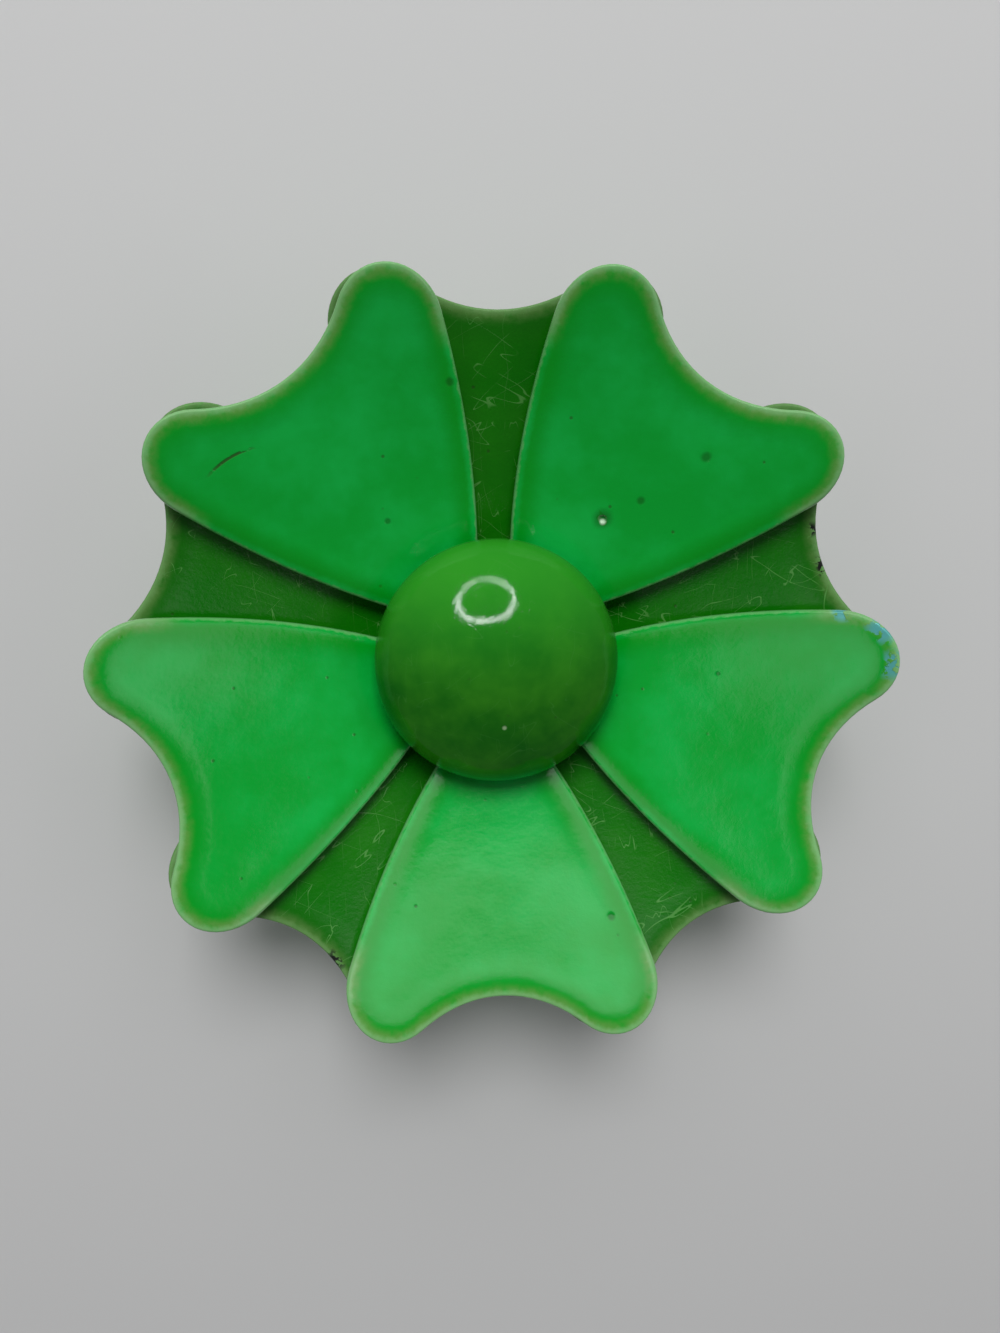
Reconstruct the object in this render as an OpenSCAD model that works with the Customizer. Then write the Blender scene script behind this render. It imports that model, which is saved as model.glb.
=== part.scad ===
// Two-tier flower brooch in pressed and enamelled sheet metal.
// Two five-petal layers and a domed button are held by one rivet, with a bar pin behind them.
// Units are millimetres. +Z runs from the pin at the back to the dome at the front, +Y is up as
// worn, and z = 0 is the plane that the pin's hinge and catch stand on.

/* [Petals] */
// Reach of the front layer's petal corners from the axis
upper_reach = 35; // [32:0.5:38]
// Reach of the back layer's petal corners from the axis
lower_reach = 35.5; // [32:0.5:39]
// How far the middle of a petal's end is scooped in from its corners
scoop_depth = 4.4; // [3:0.1:6]
// Radius of a petal's two outer corners
corner_r = 4.5; // [3:0.1:6]
// Angle from a petal's middle to the centre of its corner
corner_angle = 18.7; // [16:0.1:20]
// Radius of the bowed side of a petal
side_r = 72; // [50:1:120]
// Half of the angle between two petals at their roots
gap_angle = 8.7; // [6:0.1:11]
// Distance from the axis at which the petals part
root_r = 10; // [9:0.1:10.5]
// Radius of the flat middle of each layer
flat_r = 8.5; // [8:0.1:9]
// Angle at which the petals rise where they leave the flat middle
root_angle = 14; // [10:0.5:18]
// Angle at which the petals rise at their tips
tip_angle = 33.5; // [28:0.5:36]
// Thickness of the enamelled sheet
sheet_t = 0.8; // [0.75:0.05:1]
// Height of a petal's raised face above the flange round it
face_rise = 1; // [0.6:0.05:1.05]
// Width of that flange
flange_w = 0.6; // [0.4:0.05:0.65]
// Thickness of that flange and of the wall inside it, where the enamel is thin
flange_t = 0.6; // [0.4:0.05:0.65]
// Distance from the back layer's face to the front layer's face
layer_step = 2.9; // [2.5:0.1:3.5]

/* [Dome] */
// Outer radius of the dome
dome_r = 11.4; // [10:0.1:12]
// Radius of curvature of the dome's top
crown_r = 17; // [15:0.5:25]
// Radius of the dome's rounded shoulder
shoulder_r = 3.8; // [3:0.1:4.5]
// Thickness of the dome's sheet
dome_wall = 0.6; // [0.4:0.05:0.8]
// Width of the flange that is rolled in under the back plate
rolled_w = 1.8; // [1:0.1:2.5]
// Gap between the dome's rim and the petals below it
dome_gap = 1; // [0.6:0.1:1.5]

/* [Stack] */
// Radius of the centre rivet's shank
rivet_r = 1.3; // [1:0.05:1.5]
// Radius of the centre rivet's head
rivet_head_r = 2.6; // [2:0.1:3]
// Height of the centre rivet's head
rivet_head_h = 1; // [0.6:0.1:1.5]
// Height of the flared ends of the rivets
flare_h = 0.5; // [0.3:0.05:0.6]
// Running clearance around the shank in the front layer
running_gap = 0.05; // [0.03:0.01:0.1]
// Outer radius of the ring between the layers
spacer_r = 4.2; // [3:0.1:4.3]
// Outer radius of the collar under the dome
collar_r = 4.5; // [3:0.1:6]
// Outer radius of the washer behind the back layer
backing_r = 7; // [6.8:0.05:7.1]
// Thickness of the washer behind the back layer
backing_t = 0.9; // [0.85:0.05:1.2]
// Radius of the two small rivets through the bar
bar_rivet_r = 0.75; // [0.6:0.05:0.9]
// Distance of the small rivets from the axis
bar_rivet_x = 5.8; // [5.7:0.1:6]

/* [Pin] */
// Length of the bar
bar_l = 36; // [32:1:40]
// Width of the bar
bar_w = 4.6; // [4:0.1:6]
// Thickness of the bar and its hinge ears
bar_t = 0.8; // [0.6:0.1:1]
// Radius of the pointed wire
stem_r = 0.4; // [0.35:0.05:0.5]
// Room for cloth between the wire and the bar's rivets
cloth_gap = 4.6; // [4.4:0.1:6]
// Distance from the axis to the hinge pin
hinge_x = 16.5; // [15:0.5:17]
// Radius of the hinge pin
hinge_pin_r = 0.5; // [0.4:0.05:0.6]
// Outer radius of the wire's coiled eye
eye_r = 1.2; // [1.1:0.05:1.3]
// Width of the wire's coiled eye
eye_w = 1.8; // [1.6:0.1:2]
// Length of the wire's ground point
point_l = 3.5; // [2:0.5:4]

/* [Catch] */
// Distance from the axis to the middle of the catch
catch_x = 15.6; // [14:0.1:16]
// Length of the catch along the wire
catch_l = 3; // [2.5:0.1:3.5]
// Outer radius of the catch
catch_r = 2.2; // [2.1:0.05:2.4]
// Radius of the roller inside the catch
rotor_r = 1.4; // [1.3:0.05:1.45]
// Half of the angle of the catch's mouth
mouth_angle = 47; // [44:1:48]
// Length of the roller's thumb tab from the wire's axis
tab_reach = 3.3; // [3:0.1:3.6]
// Angle from the roller's slot to its thumb tab
tab_angle = 165; // [150:1:170]

/* [Hidden] */
$fn = 96;
petal_count = 5;
petal_turn = 360 / petal_count;
cup_steps = 3;
pressing_h = face_rise + flange_t;
side_steps = 6;
corner_steps = 8;
scoop_steps = 4;
gap_steps = 6;
fine_fn = 240;
over = 1;
layer_top = 40;

// How far a cupped layer has risen at a distance from the axis, growing steeper outwards
function cup_rise(r) =
    let (out = max(r - flat_r, 0), growth = (tan(tip_angle) - tan(root_angle)) / (upper_reach - flat_r))
    tan(root_angle) * out + growth / 2 * pow(out, 2);

// Heights, from the plane that the pin stands on up to the dome
stem_z = catch_r * cos(mouth_angle);
bar_z = stem_z + stem_r + cloth_gap + flare_h;
backing_z = bar_z + bar_t;
lower_z = backing_z + backing_t;
lower_face_z = lower_z + sheet_t;
upper_face_z = lower_face_z + layer_step;
upper_z = upper_face_z - sheet_t;
rim_z = upper_face_z + cup_rise(dome_r) + dome_gap;
plate_z = rim_z + dome_wall;
plate_t = 0.6;
plate_r = dome_r - dome_wall - 0.5;
head_z = plate_z + plate_t;
waist_z = rim_z + 1.6;
shoulder_x = dome_r - shoulder_r;
crown_z = waist_z - sqrt(pow(crown_r - shoulder_r, 2) - pow(shoulder_x, 2));

// Centre of the circle of radius rp through p that passes rq from q, on the left going from p to q
function circle_centre(p, rp, q, rq) =
    let (d = norm(q - p), u = (q - p) / d, along = (rp * rp - rq * rq + d * d) / (2 * d))
    p + along * u + sqrt(rp * rp - along * along) * [-u.y, u.x];

// Direction of a vector, and a point turned about the axis
function heading(v) = atan2(v.y, v.x);
function turned(p, a) = [p.x * cos(a) - p.y * sin(a), p.x * sin(a) + p.y * cos(a)];

// Points on an arc of n steps, without its last point
function arc(centre, r, from, to, n) =
    [for (i = [0 : n - 1]) centre + r * [cos(from + (to - from) * i / n), sin(from + (to - from) * i / n)]];

// Right half of a petal that points along +Y, inset from its true edge by the given amount:
// a bowed side, a round corner, and half of the round scoop that joins the two corners
function half_petal(reach, inset) =
    let (root = root_r * [sin(petal_turn / 2 - gap_angle), cos(petal_turn / 2 - gap_angle)],
         corner = (reach - corner_r) * [sin(corner_angle), cos(corner_angle)],
         side = circle_centre(root, side_r, corner, side_r - corner_r),
         rise = corner.y - (reach - scoop_depth),
         scoop_r = (pow(corner.x, 2) + pow(rise, 2) - pow(corner_r, 2)) / (2 * (corner_r + rise)),
         scoop = [0, reach - scoop_depth + scoop_r],
         side_end = heading(corner - side),
         corner_end = heading(scoop - corner))
    concat(arc(side, side_r - inset, heading(root - side), side_end, side_steps),
           arc(corner, corner_r - inset, side_end, corner_end, corner_steps),
           arc(scoop, scoop_r + inset, corner_end - 180, -90, scoop_steps));

// One whole petal, followed by the round root of the gap to its left
function petal_and_gap(reach, inset) =
    let (half = half_petal(reach, inset),
         gap_heading = 90 + petal_turn / 2,
         gap_centre = root_r * cos(gap_angle) * [cos(gap_heading), sin(gap_heading)],
         gap = arc(gap_centre, root_r * sin(gap_angle) + inset,
                   gap_heading - 90, gap_heading - 270, gap_steps))
    concat(half,
           [[0, reach - scoop_depth - inset]],
           [for (i = [len(half) - 1 : -1 : 0]) [-half[i].x, half[i].y]],
           [for (i = [1 : gap_steps - 1]) gap[i]]);

// Outline of one whole pressing
module layer_outline(reach, inset) {
    polygon([for (i = [0 : petal_count - 1]) for (p = petal_and_gap(reach, inset))
             turned(p, i * petal_turn)]);
}

// A flat middle with a rising dish round it, of the given thickness, with its face at z
module cupped_sheet(z, thickness) {
    far = lower_reach + 3;
    rings = [for (i = [0 : cup_steps]) flat_r + (far - flat_r) * i / cup_steps];
    rotate_extrude($fn = fine_fn)
        polygon(concat([[0, z], [0, z - thickness]],
                       [for (r = rings) [r, z - thickness + cup_rise(r)]],
                       [for (i = [cup_steps : -1 : 0]) [rings[i], z + cup_rise(rings[i])]]));
}

// The part of a cupped sheet that lies inside the outline
module cupped_blank(z, thickness, reach, inset) {
    intersection() {
        cupped_sheet(z, thickness);
        linear_extrude(layer_top) layer_outline(reach, inset);
    }
}

// One pressing: raised faces with a narrow flange all round, hollow behind, and a hole for the rivet
module petal_layer(face_z, reach, hole_r) {
    difference() {
        union() {
            cupped_blank(face_z, pressing_h, reach, flange_w);
            cupped_blank(face_z - face_rise, flange_t, reach, 0);
        }
        cupped_blank(face_z - sheet_t, pressing_h, reach, flange_w + flange_t);
        cylinder(r = hole_r, h = layer_top);
    }
}

// A flat ring from z upwards
module ring(z, outer_r, inner_r, h) {
    translate([0, 0, z]) difference() {
        cylinder(r = outer_r, h = h);
        translate([0, 0, -over]) cylinder(r = inner_r, h = h + 2 * over);
    }
}

// Half of the dome's section: crown, shoulder and flat underside, inset by the wall
module dome_section(inset) {
    intersection() {
        translate([0, rim_z + inset]) square([dome_r, 2 * crown_r]);
        union() {
            translate([shoulder_x, waist_z]) circle(shoulder_r - inset);
            intersection() {
                translate([0, crown_z]) circle(crown_r - inset, $fn = fine_fn);
                translate([0, rim_z]) square([shoulder_x, 2 * crown_r]);
            }
            intersection() {
                translate([0, crown_z]) circle(crown_r - inset, $fn = fine_fn);
                polygon([[0, crown_z], [shoulder_x, waist_z],
                         [shoulder_x * 2, 2 * waist_z - crown_z], [0, 2 * waist_z - crown_z]]);
            }
        }
    }
}

module dome_cap() {
    color("#2f7d24") difference() {
        rotate_extrude() dome_section(0);
        rotate_extrude() dome_section(dome_wall);
        translate([0, 0, rim_z - over]) cylinder(r = dome_r - rolled_w, h = dome_wall + 2 * over);
    }
}

module dome_back_plate() {
    color("#8f8f8c") ring(plate_z, plate_r, rivet_r, plate_t);
}

module dome_collar() {
    color("#8f8f8c") ring(upper_face_z, collar_r, rivet_r, plate_z - upper_face_z);
}

module centre_rivet() {
    shank_h = head_z - bar_z;
    color("#9a9a96") {
        translate([0, 0, bar_z]) cylinder(r = rivet_r, h = shank_h);
        translate([0, 0, head_z]) cylinder(r = rivet_head_r, h = rivet_head_h);
        translate([0, 0, bar_z - flare_h]) cylinder(r = rivet_r + 0.8, h = flare_h);
    }
}

module upper_petals() {
    color("#12963a") rotate(petal_turn / 2) petal_layer(upper_face_z, upper_reach, rivet_r + running_gap);
}

module layer_spacer() {
    color("#8f8f8c") ring(lower_face_z, spacer_r, rivet_r, upper_z - lower_face_z);
}

module lower_petals() {
    color("#1f6618") difference() {
        petal_layer(lower_face_z, lower_reach, rivet_r);
        for (s = [-1, 1])
            translate([s * bar_rivet_x, 0, 0]) cylinder(r = bar_rivet_r, h = upper_face_z);
    }
}

module backing_washer() {
    color("#8f8f8c") difference() {
        ring(backing_z, backing_r, rivet_r, backing_t);
        for (s = [-1, 1])
            translate([s * bar_rivet_x, 0, 0]) cylinder(r = bar_rivet_r, h = upper_face_z);
    }
}

// One of the two ears that fold down from the bar and hold the hinge pin
module hinge_ear(y) {
    ear_r = 1.5;
    translate([-hinge_x, y, 0]) difference() {
        union() {
            translate([0, bar_t, stem_z]) rotate([90, 0, 0]) cylinder(r = ear_r, h = bar_t);
            translate([-ear_r, 0, stem_z]) cube([2 * ear_r, bar_t, bar_z + bar_t - stem_z]);
        }
        translate([0, bar_t + over, stem_z]) rotate([90, 0, 0])
            cylinder(r = hinge_pin_r, h = bar_t + 2 * over);
    }
}

module pin_bar() {
    end_r = bar_w / 2;
    color("#a8a8a4") {
        difference() {
            union() {
                translate([-bar_l / 2, -end_r, bar_z]) cube([bar_l - end_r, bar_w, bar_t]);
                translate([bar_l / 2 - end_r, 0, bar_z]) cylinder(r = end_r, h = bar_t);
            }
            translate([0, 0, bar_z - over]) cylinder(r = rivet_r, h = bar_t + 2 * over);
            for (s = [-1, 1])
                translate([s * bar_rivet_x, 0, bar_z - over])
                    cylinder(r = bar_rivet_r, h = bar_t + 2 * over);
        }
        hinge_ear(eye_w / 2 + 0.1);
        hinge_ear(-eye_w / 2 - 0.1 - bar_t);
    }
}

module bar_rivets() {
    head_r = bar_rivet_r + 0.5;
    color("#9a9a96") for (s = [-1, 1]) translate([s * bar_rivet_x, 0, 0]) {
        translate([0, 0, bar_z]) cylinder(r = bar_rivet_r, h = lower_face_z - bar_z);
        translate([0, 0, lower_face_z]) cylinder(r = head_r, h = flare_h);
        translate([0, 0, bar_z - flare_h]) cylinder(r = head_r, h = flare_h);
    }
}

module hinge_pin() {
    inner_y = eye_w / 2 + 0.1 + bar_t;
    head_t = 0.4;
    color("#9a9a96") translate([-hinge_x, 0, stem_z]) rotate([90, 0, 0]) {
        cylinder(r = hinge_pin_r, h = 2 * inner_y, center = true);
        for (s = [-1, 1])
            translate([0, 0, s * (inner_y + head_t / 2)])
                cylinder(r = hinge_pin_r + 0.3, h = head_t, center = true);
    }
}

// Coiled eye, straight wire and ground point, lying closed in the catch
module pin_stem() {
    wire_end = catch_x + catch_l / 2 + 0.6;
    wire_l = wire_end + hinge_x;
    color("#c9c9c6") translate([-hinge_x, 0, stem_z]) difference() {
        union() {
            rotate([90, 0, 0]) cylinder(r = eye_r, h = eye_w, center = true);
            rotate([0, 90, 0]) cylinder(r = stem_r, h = wire_l);
            translate([wire_l, 0, 0]) rotate([0, 90, 0]) cylinder(r1 = stem_r, r2 = 0.08, h = point_l);
        }
        rotate([90, 0, 0]) cylinder(r = hinge_pin_r + running_gap, h = eye_w + over, center = true);
    }
}

// A foot on the bar, a neck, and a tube with its mouth open towards the cloth side
module catch_housing() {
    bore_r = rotor_r + running_gap;
    neck_w = 1.6;
    deep = catch_r + over;
    color("#a8a8a4") translate([catch_x - catch_l / 2, 0, stem_z]) difference() {
        union() {
            rotate([0, 90, 0]) cylinder(r = catch_r, h = catch_l);
            translate([0, -neck_w / 2, bore_r]) cube([catch_l, neck_w, bar_z - stem_z - bore_r]);
            translate([0, -bar_w / 2 + 0.4, bar_z - stem_z - 0.6]) cube([catch_l, bar_w - 0.8, 0.6]);
        }
        translate([-over, 0, 0]) rotate([0, 90, 0]) cylinder(r = bore_r, h = catch_l + 2 * over);
        translate([-over, 0, 0]) rotate([90, 0, 90]) linear_extrude(catch_l + 2 * over)
            polygon([[0, 0], deep * [-sin(mouth_angle), -cos(mouth_angle)], [0, -2 * deep],
                     deep * [sin(mouth_angle), -cos(mouth_angle)]]);
    }
}

// A slotted roller that turns in the catch, with a thumb tab on the end that stands out of it
module catch_rotor() {
    end_t = 0.7;
    end_x = catch_x + catch_l / 2;
    slot_r = stem_r + 0.1;
    color("#b4b4b0") translate([end_x, 0, stem_z]) difference() {
        union() {
            translate([-catch_l, 0, 0]) rotate([0, 90, 0]) cylinder(r = rotor_r, h = catch_l);
            rotate([0, 90, 0]) cylinder(r = rotor_r, h = end_t);
            rotate([tab_angle, 0, 0]) translate([0, -0.6, -tab_reach]) cube([end_t, 1.2, tab_reach]);
        }
        translate([-catch_l - over, 0, 0]) rotate([0, 90, 0])
            cylinder(r = slot_r, h = catch_l + end_t + 2 * over);
        translate([-catch_l - over, -slot_r, -2 * rotor_r])
            cube([catch_l + end_t + 2 * over, 2 * slot_r, 2 * rotor_r]);
    }
}

dome_cap();
dome_back_plate();
dome_collar();
centre_rivet();
upper_petals();
layer_spacer();
lower_petals();
backing_washer();
pin_bar();
bar_rivets();
hinge_pin();
pin_stem();
catch_housing();
catch_rotor();
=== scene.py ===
import math

import bpy
import numpy as np
from mathutils import Euler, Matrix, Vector


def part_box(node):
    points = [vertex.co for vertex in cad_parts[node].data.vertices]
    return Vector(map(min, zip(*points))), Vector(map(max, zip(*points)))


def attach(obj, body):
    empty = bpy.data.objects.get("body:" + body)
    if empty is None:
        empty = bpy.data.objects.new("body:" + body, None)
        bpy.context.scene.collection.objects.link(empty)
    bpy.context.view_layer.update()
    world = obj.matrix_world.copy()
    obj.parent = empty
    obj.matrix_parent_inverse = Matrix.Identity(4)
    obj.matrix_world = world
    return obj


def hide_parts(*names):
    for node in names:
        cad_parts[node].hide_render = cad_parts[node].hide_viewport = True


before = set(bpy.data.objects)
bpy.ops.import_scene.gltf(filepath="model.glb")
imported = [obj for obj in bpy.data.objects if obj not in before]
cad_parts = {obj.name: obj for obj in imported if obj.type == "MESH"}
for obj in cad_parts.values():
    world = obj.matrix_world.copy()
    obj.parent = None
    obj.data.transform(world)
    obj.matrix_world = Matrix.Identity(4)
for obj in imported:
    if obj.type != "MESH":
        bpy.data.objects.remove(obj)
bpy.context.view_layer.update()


# ------------------------------------------------------------------ petal layers
# Two five-petal layers pressed from sheet steel in the same die and enamelled: a moss
# green one behind, a bright green one in front, turned by half a petal. Each petal is a
# raised face that rolls over into a rounded rim, and the whole layer is a shallow dish.

MM = 0.001
PETALS = 5
TIP_R = 35 * MM  # how far out the dish has its full slope, TIP_SLOPE
SCOOP_DEPTH = 4.4 * MM  # of the hollow between a petal's two corners
SCOOP_STEPS = 9
CORNER_R = 4.5 * MM
CORNER_ANGLE = math.radians(18.7)  # from a petal's middle line to the centre of its corner
CORNER_STEPS = 18
SIDE_R = 72 * MM  # the bow of a petal's long side
SIDE_STEPS = 18
GAP_ANGLE = math.radians(8.7)  # half the angle between two petals at their roots
GAP_STEPS = 12
ROOT_R = 10 * MM
FLAT_R = 8.5 * MM  # the flat middle of a layer
ROOT_SLOPE = math.tan(math.radians(14))
TIP_SLOPE = math.tan(math.radians(33.5))
CUP_GROWTH = (TIP_SLOPE - ROOT_SLOPE) / (TIP_R - FLAT_R)
CUP_BEND = 1.6 * MM  # how softly the dish leaves the flat middle
SHEET_T = 0.42 * MM
PRESSING_H = 1.6 * MM
SKIRT_H = 0.3 * MM
SKIRT_TAPER = 0.02 * MM
RIM_R = 0.45 * MM
RIM_STEPS = 6
ROLL_W = 2.6 * MM
ROLL_H = 0.27 * MM
ROLL_POWER = 3
ROLL_STEPS = 8
CROWN_H = 0.2 * MM
CROWN_REACH = 8 * MM
CELL = 1.5 * MM  # spacing of the cuts that let a flat face bend
CUT_EDGE = 0.08 * MM
RIVET_R = 1.3 * MM
SWIVEL_GAP = 0.05 * MM
BAR_RIVET_R = 0.75 * MM
BAR_HEAD_R = BAR_RIVET_R + 0.5 * MM
SAME_POINT = 0.0005 * MM
RIGHT = Vector((1, 0, 0))
BACK = Vector((0, 1, 0))
UP = Vector((0, 0, 1))


def deselect_all():
    """Leaves no object selected, so that the next operator touches only its own piece."""
    bpy.ops.object.select_all(action="DESELECT")


def heading(v):
    """The direction of a flat vector, as an angle."""
    return math.atan2(v.y, v.x)


def toward(angle):
    """The flat vector of length 1 that points this way."""
    return Vector((math.cos(angle), math.sin(angle)))


def circle_centre(p, p_radius, q, q_radius):
    """Centre of the circle of p_radius through p that passes q_radius from q, on the left."""
    step = q - p
    distance = step.length
    along = (p_radius**2 - q_radius**2 + distance**2) / (2 * distance)
    aside = math.sqrt(p_radius**2 - along**2)
    unit = step / distance
    return p + along * unit + aside * Vector((-unit.y, unit.x))


def arc(centre, radius, start, stop, steps):
    """Points along an arc, without its last point."""
    turns = [start + (stop - start) * i / steps for i in range(steps)]
    return [centre + radius * toward(a) for a in turns]


def whole_arc(centre, radius, start, stop, steps):
    """Points along an arc, with its last point."""
    return arc(centre, radius, start, stop, steps) + [centre + radius * toward(stop)]


def petal_and_gap(reach):
    """One petal that points along +Y, and the round root of the gap to its left."""
    half_turn = math.pi / PETALS
    root_angle = half_turn - GAP_ANGLE
    root = ROOT_R * Vector((math.sin(root_angle), math.cos(root_angle)))
    corner = (reach - CORNER_R) * Vector((math.sin(CORNER_ANGLE), math.cos(CORNER_ANGLE)))
    side = circle_centre(root, SIDE_R, corner, SIDE_R - CORNER_R)
    rise = corner.y - (reach - SCOOP_DEPTH)
    scoop_r = (corner.x**2 + rise**2 - CORNER_R**2) / (2 * (CORNER_R + rise))
    scoop = Vector((0, reach - SCOOP_DEPTH + scoop_r))
    side_end = heading(corner - side)
    corner_end = heading(scoop - corner)
    half = arc(side, SIDE_R, heading(root - side), side_end, SIDE_STEPS)
    half += arc(corner, CORNER_R, side_end, corner_end, CORNER_STEPS)
    half += arc(scoop, scoop_r, corner_end - math.pi, -math.pi / 2, SCOOP_STEPS)
    gap_heading = math.pi / 2 + half_turn
    gap_centre = ROOT_R * math.cos(GAP_ANGLE) * toward(gap_heading)
    gap_r = ROOT_R * math.sin(GAP_ANGLE)
    gap_start = gap_heading - math.pi / 2
    gap = arc(gap_centre, gap_r, gap_start, gap_start - math.pi, GAP_STEPS)
    mirrored = [Vector((-p.x, p.y)) for p in reversed(half)]
    return half + [Vector((0, reach - SCOOP_DEPTH))] + mirrored + gap[1:]


def layer_outline(reach, turn):
    """The cut edge of a whole pressing, as an array of points."""
    points = []
    for i in range(PETALS):
        for p in petal_and_gap(reach):
            q = p.to_3d()
            q.rotate(Euler((0, 0, turn + i * math.tau / PETALS)))
            points.append((q.x, q.y))
    return np.array(points)


def distance_from_edge(points, outline):
    """Shortest distance of each point from a closed outline."""
    along = np.roll(outline, -1, axis=0) - outline
    gaps = points[:, None, :] - outline
    share = np.clip((gaps * along).sum(axis=2) / (along**2).sum(axis=1), 0, 1)
    return np.linalg.norm(gaps - share[:, :, None] * along, axis=2).min(axis=1)


def apply_modifier(piece, kind, **settings):
    """Adds a modifier to the piece, sets it and applies it."""
    bpy.context.view_layer.objects.active = piece
    bpy.ops.object.modifier_add(type=kind)
    modifier = piece.modifiers[-1]
    for name, value in settings.items():
        setattr(modifier, name, value)
    bpy.ops.object.modifier_apply(modifier=modifier.name)


def combine(piece, tool, operation):
    """Cuts the tool out of the piece, or adds it to the piece, and removes the tool."""
    apply_modifier(piece, "BOOLEAN", object=tool, operation=operation, solver="EXACT")
    bpy.data.objects.remove(tool)


def soften(piece, width, degrees=30):
    """Rounds the edges where the piece's faces meet at more than this angle."""
    apply_modifier(piece, "BEVEL", width=width, segments=2, limit_method="ANGLE",
                   angle_limit=math.radians(degrees))


def new_loop(name, places, fill):
    """A new piece that is a closed loop of points, all selected in edit mode."""
    deselect_all()
    bpy.ops.mesh.primitive_circle_add(vertices=len(places), radius=MM, fill_type=fill)
    piece = bpy.context.object
    piece.name = name
    for vertex, place in zip(piece.data.vertices, places):
        vertex.co = place
    bpy.ops.object.mode_set(mode="EDIT")
    bpy.ops.mesh.select_all(action="SELECT")
    return piece


def rim_section():
    """A pressing's edge from its foot inwards, as (distance in, height) points: an upright
    skirt, a rounded rim, and a roll that flattens out into the face."""
    upright = math.radians(85)
    start = math.atan(ROLL_POWER * ROLL_H / ROLL_W)
    points = [(SKIRT_TAPER, SKIRT_H)]
    for i in range(1, RIM_STEPS + 1):
        a = upright + (start - upright) * i / RIM_STEPS
        points.append((SKIRT_TAPER + RIM_R * (math.sin(upright) - math.sin(a)),
                       SKIRT_H + RIM_R * (math.cos(a) - math.cos(upright))))
    rim_in, rim_z = points[-1]
    for i in range(1, ROLL_STEPS + 1):
        share = i / ROLL_STEPS
        risen = 1 - (1 - share) ** ROLL_POWER
        points.append((rim_in + ROLL_W * share, rim_z + ROLL_H * risen))
    return points


def press_layer(name, reach, low_z, turn):
    """Draws the outline, raises and cups its faces, and gives the sheet its thickness."""
    outline = layer_outline(reach, turn)
    section = rim_section()
    foot_z = low_z + PRESSING_H - section[-1][1]
    piece = new_loop(name, [(x, y, foot_z) for x, y in outline], "NGON")
    moved, risen = 0, 0
    for inset, height in section:
        bpy.ops.mesh.inset(thickness=inset - moved, depth=height - risen)
        moved, risen = inset, height
    bpy.ops.object.vertex_group_add()
    bpy.ops.object.vertex_group_assign()
    cuts = int(reach / CELL)
    for across in (RIGHT, BACK):
        for i in range(-cuts, cuts + 1):
            bpy.ops.object.vertex_group_select()
            bpy.ops.mesh.bisect(plane_co=across * i * CELL, plane_no=across)
    bpy.ops.object.mode_set(mode="OBJECT")
    bpy.ops.object.vertex_group_remove(all=True)
    cup_layer(piece.data, outline, moved)
    apply_modifier(piece, "SOLIDIFY", thickness=SHEET_T, offset=-1, use_even_offset=True)
    soften(piece, CUT_EDGE, degrees=60)
    return piece


def cup_layer(mesh, outline, rim_w):
    """Dishes the petals upwards from the flat middle and crowns their faces a little. Each
    point keeps its distance from the cut edge, in millimetres, for the enamel's material."""
    places = np.zeros(len(mesh.vertices) * 3)
    mesh.vertices.foreach_get("co", places)
    places = places.reshape(-1, 3)
    edge = distance_from_edge(places[:, :2], outline)
    out = np.hypot(places[:, 0], places[:, 1]) - FLAT_R
    out = (out + np.sqrt(out**2 + CUP_BEND**2)) / 2
    places[:, 2] += ROOT_SLOPE * out + CUP_GROWTH / 2 * out**2
    inside = np.clip((edge - rim_w) / CROWN_REACH, 0, 1)
    places[:, 2] += CROWN_H * (1 - (1 - inside) ** 2)
    mesh.vertices.foreach_set("co", places.ravel())
    kept = mesh.attributes.new("from_edge", "FLOAT", "POINT")
    kept.data.foreach_set("value", edge / MM)
    mesh.update()


def drill(piece, place, radius, axis=UP, depth=100 * MM):
    """A round hole along the axis, centred on the place."""
    deselect_all()
    bpy.ops.mesh.primitive_cylinder_add(vertices=64, radius=radius, depth=depth, location=place,
                                        rotation=axis.to_track_quat("Z", "Y").to_euler())
    combine(piece, bpy.context.object, "DIFFERENCE")


def pit(piece, x, y, radius, depth):
    """A small round crater in the face, where a bubble burst in the enamel."""
    _, place, normal, _ = piece.ray_cast(Vector((x, y, 1)), -UP)
    ball_r = (radius**2 + depth**2) / (2 * depth)
    deselect_all()
    bpy.ops.mesh.primitive_uv_sphere_add(segments=32, ring_count=24, radius=ball_r,
                                         location=place + normal * (ball_r - depth))
    combine(piece, bpy.context.object, "DIFFERENCE")


def reach_of(far_y):
    """How far the petals' corners reach, from how far the layer reaches along Y."""
    return (far_y - CORNER_R) / math.cos(CORNER_ANGLE) + CORNER_R


lower_low, lower_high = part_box("lower_petals")
lower_petals = press_layer("lower_petals_enamelled", reach_of(lower_high.y), lower_low.z, 0)
drill(lower_petals, Vector((0, 0, 0)), RIVET_R)
rivets_low, rivets_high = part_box("bar_rivets")
bar_rivet_x = (rivets_high.x - rivets_low.x) / 2 - BAR_HEAD_R
for side in (-1, 1):
    drill(lower_petals, Vector((side * bar_rivet_x, 0, 0)), BAR_RIVET_R)

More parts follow.
